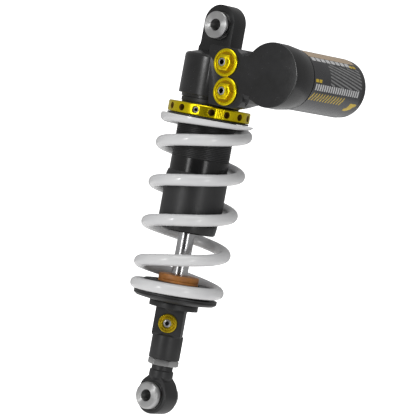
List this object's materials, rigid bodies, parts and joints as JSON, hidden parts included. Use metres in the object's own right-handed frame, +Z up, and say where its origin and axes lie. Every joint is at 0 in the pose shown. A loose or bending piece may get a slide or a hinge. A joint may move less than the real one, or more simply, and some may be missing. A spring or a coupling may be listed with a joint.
{
  "type": "motorcycle rear shock absorber",
  "caption": "Coil-over motorcycle rear shock with side reservoir: sliding damper rod, threaded preload collar, adjusters and spherical bearings.",
  "frame": {"origin": "centre of the upper eye, where the damper axis meets the axis of the upper bolt", "axes": "+Z up along the damper from the lower eye to the upper eye, +Y along both eye bolts towards the back, +X towards the reservoir"},
  "size_m": [0.1406, 0.1215, 0.3507],
  "materials": {
    "black_anodised": "satin black anodised",
    "gold_anodised": "satin gold anodised",
    "bare_steel": "turned",
    "chromed_steel": "polished",
    "white_paint": "gloss white powder coat",
    "black_plastic": "matt black",
    "black_rubber": "matt",
    "brown_foam": "matt brown polyurethane",
    "bronze": "machined",
    "printed_film": "gloss printed film"
  },
  "bodies": {
    "damper_body": {"head_block": "black_anodised", "body_tube": "black_anodised", "guide_sleeve": "black_plastic", "seal_head": "black_anodised", "rod_wiper": "black_rubber", "valve_high_cartridge": "gold_anodised", "valve_low_cartridge": "gold_anodised", "reservoir_tube": "black_anodised", "reservoir_wrap": "printed_film", "reservoir_end_cap": "black_anodised", "reservoir_clip": "bare_steel", "gas_valve_stem": "bare_steel", "gas_valve_cap": "black_rubber", "upper_bearing_race": "bare_steel", "upper_bearing_clip": "bare_steel", "coil_spring": "white_paint"},
    "rod_assembly": {"piston_rod": "chromed_steel", "rebound_shims": "bare_steel", "compression_shims": "bare_steel", "main_piston": "bronze", "piston_band": "black_rubber", "piston_nut": "bare_steel", "top_out_ring": "black_rubber", "bump_stop": "brown_foam", "spring_perch": "black_anodised", "rebound_housing": "black_anodised", "rebound_cartridge": "gold_anodised", "locknut": "bare_steel", "rod_end": "black_anodised", "lower_bearing_race": "bare_steel", "lower_bearing_clip": "bare_steel"},
    "preload_seat": {"spring_seat_ring": "black_plastic"},
    "preload_ring": {"preload_collar": "gold_anodised", "collar_grub_screw": "bare_steel"},
    "upper_ball": {"upper_bearing_ball": "chromed_steel"},
    "upper_sleeve": {"upper_spacer_front": "bare_steel", "upper_spacer_back": "bare_steel"},
    "lower_ball": {"lower_bearing_ball": "chromed_steel"},
    "lower_sleeve": {"lower_spacer_front": "bare_steel", "lower_spacer_back": "bare_steel"},
    "high_speed_screw": {"valve_high_screw": "bare_steel"},
    "low_speed_screw": {"valve_low_screw": "bare_steel"},
    "rebound_adjuster": {"rebound_screw": "bare_steel"},
    "separator_piston": {"floating_piston": "gold_anodised", "floating_piston_band": "black_rubber"}
  },
  "joints": [
    {"name": "damper_stroke", "type": "slide", "parent": "damper_body", "child": "rod_assembly", "axis": [0, 0, 1], "range_m": [0, 0.0365], "stiffness_N_per_m": 78000, "springref_m": -0.01, "deforming": ["coil_spring"]},
    {"name": "preload_travel", "type": "slide", "parent": "damper_body", "child": "preload_seat", "axis": [0, 0, 1], "range_m": [-0.012, 0.001]},
    {"name": "preload_turn", "type": "hinge", "parent": "preload_seat", "child": "preload_ring", "pos_m": [0, 0, -0.073], "axis": [0, 0, 1], "range_deg": [-2885, 241]},
    {"name": "upper_tilt", "type": "hinge", "parent": "damper_body", "child": "upper_ball", "pos_m": [0, 0, 0], "axis": [1, 0, 0], "range_deg": [-6, 6]},
    {"name": "upper_spin", "type": "hinge", "parent": "upper_ball", "child": "upper_sleeve", "pos_m": [0, 0, 0], "axis": [0, 1, 0], "continuous": true},
    {"name": "lower_tilt", "type": "hinge", "parent": "rod_assembly", "child": "lower_ball", "pos_m": [0, 0, -0.3175], "axis": [1, 0, 0], "range_deg": [-6, 6]},
    {"name": "lower_spin", "type": "hinge", "parent": "lower_ball", "child": "lower_sleeve", "pos_m": [0, 0, -0.3175], "axis": [0, 1, 0], "continuous": true},
    {"name": "high_speed_turn", "type": "hinge", "parent": "damper_body", "child": "high_speed_screw", "pos_m": [0.0275, -0.03, -0.03], "axis": [0, -1, 0], "range_deg": [-540, 540]},
    {"name": "low_speed_turn", "type": "hinge", "parent": "damper_body", "child": "low_speed_screw", "pos_m": [0.0322, -0.03, -0.0537], "axis": [0, -1, 0], "range_deg": [-540, 540]},
    {"name": "rebound_turn", "type": "hinge", "parent": "rod_assembly", "child": "rebound_adjuster", "pos_m": [0, 0, -0.2545], "axis": [0.4384, -0.8988, 0], "range_deg": [-540, 540]},
    {"name": "separator_slide", "type": "slide", "parent": "damper_body", "child": "separator_piston", "axis": [0, 1, 0], "range_m": [0, 0.0035]}
  ],
  "couplings": [
    {"joint": "preload_turn", "follows": "preload_travel", "rad_per_m": 4188.8},
    {"joint": "separator_slide", "follows": "damper_stroke", "ratio": 0.0926}
  ]
}
